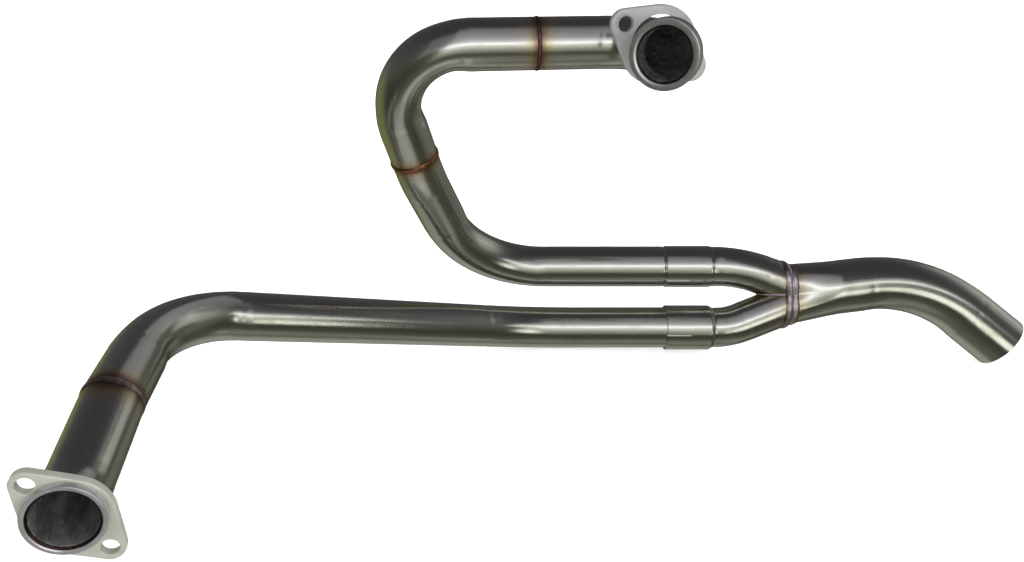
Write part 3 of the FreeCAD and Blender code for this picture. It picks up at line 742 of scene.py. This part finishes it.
def tube_attrs(ob, path, r, s_shift, weld_fn):
    """Distance along the tube, place round it and distance to the welds, for every vertex."""
    mesh = ob.data
    co = np.zeros(len(mesh.vertices) * 3, np.float32)
    mesh.vertices.foreach_get("co", co)
    p = (co.reshape(-1, 3).astype(float) * 1000.0 - SHIFT) @ TURN
    s = np.linspace(0, path.length, 400)
    P, T, U, W = frames(path, s)
    best = np.argmin(((p[:, None, :] - P[None]) ** 2).sum(2), 1)
    d = p - P[best]
    along = (d * T[best]).sum(1)
    u, w = (d * U[best]).sum(1), (d * W[best]).sum(1)
    n = np.hypot(u, w) + 1e-9
    coords = np.stack([u / n * r, w / n * r, s[best] + along + s_shift], 1).astype(np.float32)
    for key in ("tube", "weld_d"):
        if key in mesh.attributes:
            mesh.attributes.remove(mesh.attributes[key])
    mesh.attributes.new("tube", "FLOAT_VECTOR", "POINT").data.foreach_set("vector", coords.ravel())
    mesh.attributes.new("weld_d", "FLOAT", "POINT").data.foreach_set("value", weld_fn(p).astype(np.float32))
    finish_mesh(mesh, 34)


SEAM_X = 226.0


def collector_weld(p):
    to_merge = np.abs(p[:, 0] - X_MERGE) / 0.85
    to_seam = np.hypot(np.abs(p[:, 1] - Y_MERGE), np.maximum(0, SEAM_X - p[:, 0])) / 0.28
    return np.minimum(to_merge, to_seam)


def collector_leg(name, y_axis, y_end, bend_r, od, bore, slot_deg, upper, shift):
    corner = (X_MERGE - abs(y_end - y_axis) / LEG_SLOPE, y_axis, 0.0)
    to = (X_MERGE + 8.0, y_end + math.copysign(LEG_SLOPE * 8.0, y_end - y_axis), 0.0)
    path = Path([(X_SOCKET, y_axis, 0.0), corner, to], [bend_r], [0.015])
    a, b = SOCKET_LEN, SOCKET_LEN + SOCKET_CONE

    def profile(s):
        k = np.clip((s - a) / (b - a), 0, 1)
        k = smooth(k, 0.05, 0.85)
        ro = od / 2 + (LEG_R - od / 2) * k
        ri = bore / 2 + (LEG_R - 1.5 - bore / 2) * k
        return ro, ri

    ob = tube(name, path, [COLLECT, BORE], n=96, profile=profile, extra=list(np.linspace(a - 1, b + 1, 15)) + [0.4, 0.8])
    y = Y_MERGE
    cut = block((100, y - 90, -60), (300, y, 60)) if upper else block((100, y, -60), (300, y + 90, 60))
    boolean(ob, [cut, block((X_MERGE, -120, -70), (330, 120, 70)), saw(y_axis, slot_deg, 1), saw(y_axis, slot_deg, -1)])
    tube_attrs(ob, path, LEG_R, shift, collector_weld)
    return ob


keep(collector_leg("collector_upper_leg_steel", 13.8, Y_MERGE + HALF_SEP, 130.0, 39.0, 36.9, -44.0, True, 4000.0),
     "collector_upper_leg", "tube")
keep(collector_leg("collector_lower_leg_steel", -43.9, Y_MERGE - HALF_SEP, 70.0, 41.8, 38.3, -17.0, False, 4600.0),
     "collector_lower_leg", "tube")

# outlet: its inlet end is formed to the two legs, then it turns round and bends
o_dir = unit((1.0, 0.1205, 0.0))
round_at = np.array(OUTLET_CORNER) - o_dir * ((OUTLET_CORNER[0] - X_MERGE - OUTLET_FORM) / o_dir[0])


def oval(phi, h, r, valley):
    """Polar radius of an oval about both legs; valley 1 follows the two legs, 0 is flat-sided."""
    c, s = np.abs(np.cos(phi)), np.abs(np.sin(phi))
    soft = np.sqrt(c * c + 0.03) - math.sqrt(0.03) * (1 - c)
    two = h * soft + np.sqrt(np.maximum(r * r - (h * s) ** 2, 0))
    flat = np.where(r * c <= h * s, r / np.maximum(s, 1e-6), h * c + np.sqrt(np.maximum(r * r - (h * s) ** 2, 0)))
    return flat + (two - flat) * valley


def outlet_pipe():
    n = 96
    phi = np.arange(n) * 2 * math.pi / n      # from +y (up the page) to +z
    run = Path([round_at, OUTLET_CORNER, OUTLET_END], [128.0], [0.030])
    t = np.concatenate([[0.0], np.linspace(0.4, OUTLET_FORM, 26)])
    sr = run.marks(extra=[run.length - 0.3])
    sr = sr[sr > 0.4]
    rings_o, rings_i, along = [], [], []
    start = np.array((X_MERGE, Y_MERGE, 0.0))
    z = np.array((0.0, 0.0, 1.0))
    for x in t:
        k = x / OUTLET_FORM
        kk = k * k * (3 - 2 * k)
        c = start + (round_at - start) * k
        d = unit(np.array((1.0, 0.0, 0.0)) * (1 - k) + o_dir * k)
        u = np.cross(z, d)
        valley = 0.85 * (1 - smooth(x, 2.0, 44.0)) ** 1.2
        r0 = oval(phi, HALF_SEP, LEG_R, valley)
        r1 = np.full(n, OUTLET_R)
        rad = r0 + (r1 - r0) * (0.35 * k + 0.65 * kk)
        q = np.cos(phi)[:, None] * u + np.sin(phi)[:, None] * z
        rings_o.append(c + q * rad[:, None])
        rings_i.append(c + q * (rad - 1.5)[:, None])
        along.append(x)
    P, T, U, W = frames(run, sr)
    D = flatten(run, sr, T, 0.0)
    for i in range(len(sr)):
        u = np.cross(z, T[i])
        q = np.cos(phi)[:, None] * u + np.sin(phi)[:, None] * z
        q = q + q @ D[i].T
        fade = 0.55 * (1 - smooth(sr[i], -10.0, 26.0))
        shape = 1 - 0.016 * fade * np.abs(np.sin(phi)) ** 8
        ro, ri = OUTLET_R, OUTLET_R - 1.5
        for e in (run.arcs[0][0], run.arcs[0][1]):
            ro = ro - 0.10 * math.exp(-((sr[i] - e) / 2.6) ** 2)
        if i == len(sr) - 1:
            ro, ri = ro - 0.3, ri + 0.2
        rings_o.append(P[i] + q * (ro * shape)[:, None])
        rings_i.append(P[i] + q * (ri * shape)[:, None])
        along.append(OUTLET_FORM + sr[i])
    m = len(along)
    verts = np.concatenate(rings_o + rings_i)
    faces = grid_faces(m, n) + grid_faces(m, n, m * n, flip=True)
    flag = [0] * ((m - 1) * n) + [1] * ((m - 1) * n)
    for j in range(n):
        j2, a = (j + 1) % n, (m - 1) * n
        faces.append((j, m * n + j, m * n + j2, j2))
        faces.append((a + j, a + j2, m * n + a + j2, m * n + a + j))
        flag += [0, 0]
    s = np.repeat(along, n)
    co = np.stack([np.tile(np.cos(phi), m) * OUTLET_R, np.tile(np.sin(phi), m) * OUTLET_R, s + 5300.0], 1)
    wd = s / 0.9
    return make_object("outlet_pipe_steel", verts, faces, {"tube": np.concatenate([co, co]), "weld_d": np.concatenate([wd, wd])},
                       [COLLECT, BORE], flag)


keep(outlet_pipe(), "outlet_pipe", "tube")


def merge_bead():
    """Two weld runs side by side round the ends of both legs."""
    n = 720
    phi = np.arange(n) * 2 * math.pi / n
    xs = np.linspace(-6.2, 6.2, 33)
    count = 96
    rows, cos, edge = [], [], []
    for x in xs:
        k = max(0.0, x) / OUTLET_FORM
        kk = k * k * (3 - 2 * k)
        h = HALF_SEP + LEG_SLOPE * max(0.0, -x)
        base = oval(phi, h, LEG_R / (math.cos(math.atan(LEG_SLOPE)) if x < 0 else 1.0), 0.85)
        base = base + (OUTLET_R - base) * (0.35 * k + 0.65 * kk)
        lift = np.zeros(n)
        for c, w, hh, seed in ((-3.0, 3.1, 1.05, 61), (3.05, 2.9, 0.95, 71)):
            mid = c + 0.22 * wobble(phi, seed)
            v = np.clip((x - mid) / (w * (1 + 0.10 * wobble(phi, seed + 1))), -1, 1)
            ph = count * phi / (2 * math.pi) + 0.9 * v * v + 0.1 * wobble(phi, seed + 2) + (0.4 if c > 0 else 0)
            f = ph - np.floor(ph)
            lift = np.maximum(lift, hh * (1 + 0.12 * wobble(phi, seed + 3)) * (1 - np.abs(v) ** 2.2) * (1 - 0.30 * f ** 1.5))
        rad = base - 0.05 + lift
        rows.append(np.stack([np.full(n, X_MERGE + x), Y_MERGE + np.cos(phi) * rad, np.sin(phi) * rad], 1))
        cos.append(np.stack([np.cos(phi) * 26.0, np.sin(phi) * 26.0, np.full(n, x)], 1))
        edge.append(np.full(n, abs(x) / 6.2))
    for x in (6.0, -6.0):
        h = HALF_SEP + LEG_SLOPE * max(0.0, -x)
        rad = oval(phi, h, LEG_R, 0.85) - 0.75
        rows.append(np.stack([np.full(n, X_MERGE + x), Y_MERGE + np.cos(phi) * rad, np.sin(phi) * rad], 1))
        cos.append(np.stack([np.cos(phi) * 26.0, np.sin(phi) * 26.0, np.full(n, x)], 1))
        edge.append(np.full(n, 1.0))
    m = len(rows)
    faces = grid_faces(m, n)
    last = (m - 1) * n
    faces += [(last + j, last + (j + 1) % n, (j + 1) % n, j) for j in range(n)]
    return make_object("merge_bead", np.concatenate(rows), faces, {"tube": np.concatenate(cos), "weld_d": np.concatenate(edge)},
                       [WELD_LILAC], sharp=70)


keep(merge_bead(), "merge_weld", "weld")


def fork_seam():
    """Seam weld in the fork: a rippled V-shaped run over the front, the back and round the crotch."""
    up = Path([(189.5, 13.8, 0), (X_MERGE - (13.8 - (Y_MERGE + HALF_SEP)) / LEG_SLOPE, 13.8, 0), (X_MERGE + 8, Y_MERGE + HALF_SEP - LEG_SLOPE * 8, 0)], [130.0])
    lo = Path([(189.5, -43.9, 0), (X_MERGE - ((Y_MERGE - HALF_SEP) + 43.9) / LEG_SLOPE, -43.9, 0), (X_MERGE + 8, Y_MERGE - HALF_SEP + LEG_SLOPE * 8, 0)], [70.0])

    def axis_line(path):
        return np.array([path.at(v)[0] for v in np.linspace(0, path.length, 400)])

    up_line, lo_line = axis_line(up), axis_line(lo)

    def gap(line, x):
        return abs(float(np.interp(x, line[:, 0], line[:, 1])) - Y_MERGE)

    cs = 1.0 / math.cos(math.atan(LEG_SLOPE))

    def height(x):
        """Half height of the legs' meeting line at x, 0 at the crotch."""
        g = 0.5 * (gap(up_line, x) + gap(lo_line, x))
        r = LEG_R * 1.0
        return math.sqrt(max(r * r - (g / cs) ** 2, 0.0))

    xs = np.linspace(200.0, X_MERGE - 5.6, 1200)
    hs = np.array([height(x) for x in xs])
    i0 = int(np.argmax(hs > 0.05))
    front = [(xs[i], hs[i]) for i in range(len(xs) - 1, i0, -1)]
    line = [(x, h) for x, h in front] + [(x, -h) for x, h in reversed(front)]
    line = np.array(line)
    seg = np.concatenate([[0], np.cumsum(np.hypot(*np.diff(line, axis=0).T))])
    n = int(seg[-1] / 0.18)
    ss = np.linspace(0, seg[-1], n)
    cx, cz = np.interp(ss, seg, line[:, 0]), np.interp(ss, seg, line[:, 1])
    tx, tz = np.gradient(cx, ss), np.gradient(cz, ss)
    nx, nz = tz, -tx                    # outward: away from the metal, towards the open fork
    flip = np.sign(nx * -1.0 + nz * np.sign(cz) * 0.4)
    flip[flip == 0] = 1
    nx, nz = nx * flip, nz * flip
    ln = np.hypot(nx, nz) + 1e-9
    nx, nz = nx / ln, nz / ln
    across = np.linspace(-1, 1, 11)
    width = 1.9
    rows, cos, edge = [], [], []
    for v in across:
        f = (ss / 1.35 + 0.7 * v * v) % 1.0
        h = 0.95 * (1 - abs(v) ** 2.0) * (1 - 0.32 * f ** 1.5) + 0.35 * v * v
        rows.append(np.stack([cx + nx * h, Y_MERGE + v * width * np.ones(n), cz + nz * h], 1))
        cos.append(np.stack([ss, np.full(n, v * width), np.zeros(n)], 1))
        edge.append(np.full(n, abs(v)))
    for v in (0.85, -0.85):
        rows.append(np.stack([cx - nx * 0.7, Y_MERGE + v * width * np.ones(n), cz - nz * 0.7], 1))
        cos.append(np.stack([ss, np.full(n, v * width), np.zeros(n)], 1))
        edge.append(np.full(n, 1.0))
    m = len(rows)
    verts = np.concatenate(rows)
    faces = grid_faces(m, n, closed=False)
    last = (m - 1) * n
    faces += [(last + j, last + j + 1, j + 1, j) for j in range(n - 1)]
    faces.append(tuple(k * n for k in range(m)))
    faces.append(tuple(k * n + n - 1 for k in reversed(range(m))))
    return make_object("fork_seam_bead", verts, faces, {"tube": np.concatenate(cos), "weld_d": np.concatenate(edge)}, [WELD_LILAC], sharp=70)


keep(fork_seam(), "fork_seam_weld", "weld")

# --------------------------------------------------------------- floor and light
def stage_bowl():
    prof = [(0.0, 0.0), (0.6, 0.0), (1.5, 0.0), (2.6, 0.0)]
    for a in np.linspace(0, math.pi / 2, 14)[1:]:
        prof.append((2.6 + 1.6 * math.sin(a), 1.6 * (1 - math.cos(a))))
    prof += [(4.2, 3.0), (4.2, 5.0)]
    n = 96
    verts, faces = [(0.0, 0.0, -0.0003)], []
    for r, z in prof[1:]:
        verts += [(r * math.cos(t), r * math.sin(t), z - 0.0003) for t in np.arange(n) * 2 * math.pi / n]
    for j in range(n):
        faces.append((0, 1 + j, 1 + (j + 1) % n))
    for k in range(len(prof) - 2):
        for j in range(n):
            a, b = 1 + k * n + j, 1 + k * n + (j + 1) % n
            faces.append((a, a + n, b + n, b))
    mesh = bpy.data.meshes.new("floor")
    mesh.from_pydata(verts, [], faces)
    mesh.polygons.foreach_set("use_smooth", np.ones(len(mesh.polygons), bool))
    m, nt, bsdf = new_material("pale_floor")
    bsdf.inputs["Base Color"].default_value = (0.86, 0.86, 0.85, 1)
    bsdf.inputs["Roughness"].default_value = 0.9
    bsdf.inputs["Specular IOR Level"].default_value = 0.0
    bsdf.inputs["Emission Color"].default_value = (1, 1, 0.995, 1)
    bsdf.inputs["Emission Strength"].default_value = 0.60
    mesh.materials.append(m)
    ob = bpy.data.objects.new("floor", mesh)
    bpy.context.scene.collection.objects.link(ob)
    ob.visible_glossy = False


stage_bowl()


def area_light(name, at, to, size_x, size_y, watts, colour=(1, 1, 1), spread=180.0):
    light = bpy.data.lights.new(name, "AREA")
    light.shape = "RECTANGLE"
    light.size, light.size_y = size_x, size_y
    light.energy = watts
    light.color = colour
    light.spread = math.radians(spread)
    ob = bpy.data.objects.new(name, light)
    ob.location = at
    ob.rotation_mode = "QUATERNION"
    ob.rotation_quaternion = (Vector(to) - Vector(at)).to_track_quat("-Z", "Y")
    ob.visible_camera = False
    bpy.context.scene.collection.objects.link(ob)
    return ob


def panel(name, x, y, width, height, glow, colour=(1.0, 0.995, 0.98), z=800.0):
    """Soft panel in the plane the viewer stands in, facing the part; sizes in the drawing frame, glow is its brightness."""
    light = bpy.data.lights.new(name, "AREA")
    light.shape = "RECTANGLE"
    light.size, light.size_y = width / 1000.0, height / 1000.0
    light.energy = glow * math.pi * light.size * light.size_y
    light.color = colour
    ob = bpy.data.objects.new(name, light)
    q = place((x, y, z))
    r, u, b = TURN @ np.array((1.0, 0, 0)), TURN @ np.array((0, 1.0, 0)), TURN @ np.array((0, 0, 1.0))
    ob.matrix_world = Matrix([[r[i], u[i], b[i], q[i]] for i in range(3)] + [[0, 0, 0, 1]])
    ob.visible_camera = False
    bpy.context.scene.collection.objects.link(ob)
    return ob


# one wide softbox behind the viewer, brightest along its upper middle
for k, (y, h, glow) in enumerate([(-570, 120, 0.17), (-450, 120, 0.28), (-330, 120, 0.43), (-210, 120, 0.66), (-90, 120, 1.00),
                                  (25, 110, 2.15), (140, 120, 0.86), (260, 120, 0.50), (380, 120, 0.38), (500, 120, 0.32), (640, 160, 0.28),
                                  (820, 200, 0.22), (1040, 240, 0.15)]):
    panel("softbox_%d" % k, 190, y, 600, h, glow, (1.0, 1.005, 0.91) if y < 0 else (0.975, 0.97, 1.03))
panel("softbox_right", 705, 85, 430, 130, 1.50)
panel("softbox_right_upper", 705, 230, 430, 160, 0.36)
panel("softbox_right_middle", 605, -125, 170, 290, 0.75, (1.0, 1.01, 0.90))
panel("softbox_right_lower", 650, -430, 320, 320, 1.70, (1.0, 1.01, 0.92))
panel("softbox_far_right", 1000, 60, 160, 150, 0.30)
panel("softbox_left", -260, 330, 300, 700, 0.13, (0.97, 0.965, 1.05))
area_light("stub_fill", place((-190, 40, 205)), place((-255, -80, 265)), 0.10, 0.10, 0.09 * math.pi * 0.10 * 0.10, (0.98, 0.98, 1.0), spread=110.0)
area_light("bend_fill", place((-75, -20, 175)), place((-75, 120, 160)), 0.13, 0.11, 0.12 * math.pi * 0.13 * 0.11, (1.0, 1.0, 0.98), spread=110.0)
top = area_light("top_soft", (0.6, 1.1, 2.3), (0.0, 0.05, 0.12), 1.8, 1.8, 8.0, (0.96, 0.98, 1.0))
top.visible_glossy = False

world = bpy.data.worlds.new("studio")
bpy.context.scene.world = world
world.use_nodes = True
nt = world.node_tree
nt.nodes.clear()
w_out = node(nt, "ShaderNodeOutputWorld")
direction = node(nt, "ShaderNodeTexCoord").outputs["Generated"]


def lobe(page_right, page_up, front, inner, outer, amount):
    """Soft round patch of light in the room; its direction is given in the drawing frame."""
    d = TURN @ unit((page_right, page_up, front))
    dot = node(nt, "ShaderNodeVectorMath", {0: direction, 1: tuple(d)}, operation="DOT_PRODUCT").outputs["Value"]
    return node(nt, "ShaderNodeMapRange", {0: dot, 1: math.cos(math.radians(outer)), 2: math.cos(math.radians(inner)), 3: 0.0, 4: amount},
                interpolation_type="SMOOTHSTEP").outputs[0]


sep = node(nt, "ShaderNodeSeparateXYZ", {0: direction})
up01 = math_node(nt, "MULTIPLY_ADD", sep.outputs[2], 0.5)
nt.nodes[-1].inputs[2].default_value = 0.5
room = ramp(nt, up01, [(0.0, (0.170, 0.170, 0.142)), (0.12, (0.110, 0.110, 0.088)), (0.28, (0.058, 0.061, 0.042)), (0.46, (0.078, 0.081, 0.060)),
                       (0.56, (0.105, 0.105, 0.098)), (0.72, (0.096, 0.094, 0.101)), (0.88, (0.070, 0.067, 0.075)), (1.0, (0.056, 0.053, 0.057))])
lights = [lobe(0.95, 0.29, 0.00, 6, 24, 0.24),       # pale wall round the right-hand side
          lobe(0.83, 0.44, -0.34, 6, 24, 0.26),
          lobe(1.0, 0.20, -0.25, 8, 50, 0.12),
          lobe(0.22, -0.96, 0.10, 3, 19, 0.13),      # pale ground below
          lobe(-0.1, -0.72, -0.72, 6, 36, 0.28),
          lobe(0.47, -0.86, -0.21, 3, 13, 0.20),
          lobe(0.45, -0.06, -0.89, 4, 22, 0.13)]
olive = lobe(-0.84, -0.18, -0.52, 4, 44, 0.17)       # faint olive light from the left
total = lights[0]
for x in lights[1:]:
    total = math_node(nt, "ADD", total, x)
tone = node(nt, "ShaderNodeCombineColor", {0: total, 1: total, 2: math_node(nt, "MULTIPLY", total, 0.93)}).outputs[0]
left = node(nt, "ShaderNodeCombineColor", {0: math_node(nt, "MULTIPLY", olive, 0.96), 1: olive, 2: math_node(nt, "MULTIPLY", olive, 0.34)}).outputs[0]
sky = mix_colour(nt, 1.0, mix_colour(nt, 1.0, room.outputs[0], tone, "ADD"), left, "ADD")
bg = node(nt, "ShaderNodeBackground", {"Color": sky, "Strength": 1.0})
nt.links.new(bg.outputs[0], w_out.inputs[0])

# ---------------------------------------------------------------------- camera
cam = bpy.data.cameras.new("camera")
cam.sensor_fit = "HORIZONTAL"
cam.sensor_width = 36.0
cam.lens = 815.0 / 1024.0 * 36.0
cam.clip_start, cam.clip_end = 0.02, 50.0
cam_ob = bpy.data.objects.new("camera", cam)
eye = place((0.0, 0.0, 772.4))
right, upw, back = TURN @ np.array((1.0, 0, 0)), TURN @ np.array((0, 1.0, 0)), TURN @ np.array((0, 0, 1.0))
cam_ob.matrix_world = Matrix([[right[i], upw[i], back[i], eye[i]] for i in range(3)] + [[0, 0, 0, 1]])
bpy.context.scene.collection.objects.link(cam_ob)
bpy.context.scene.camera = cam_ob
bpy.context.scene.view_settings.view_transform = "Standard"
bpy.context.scene.view_settings.look = "None"
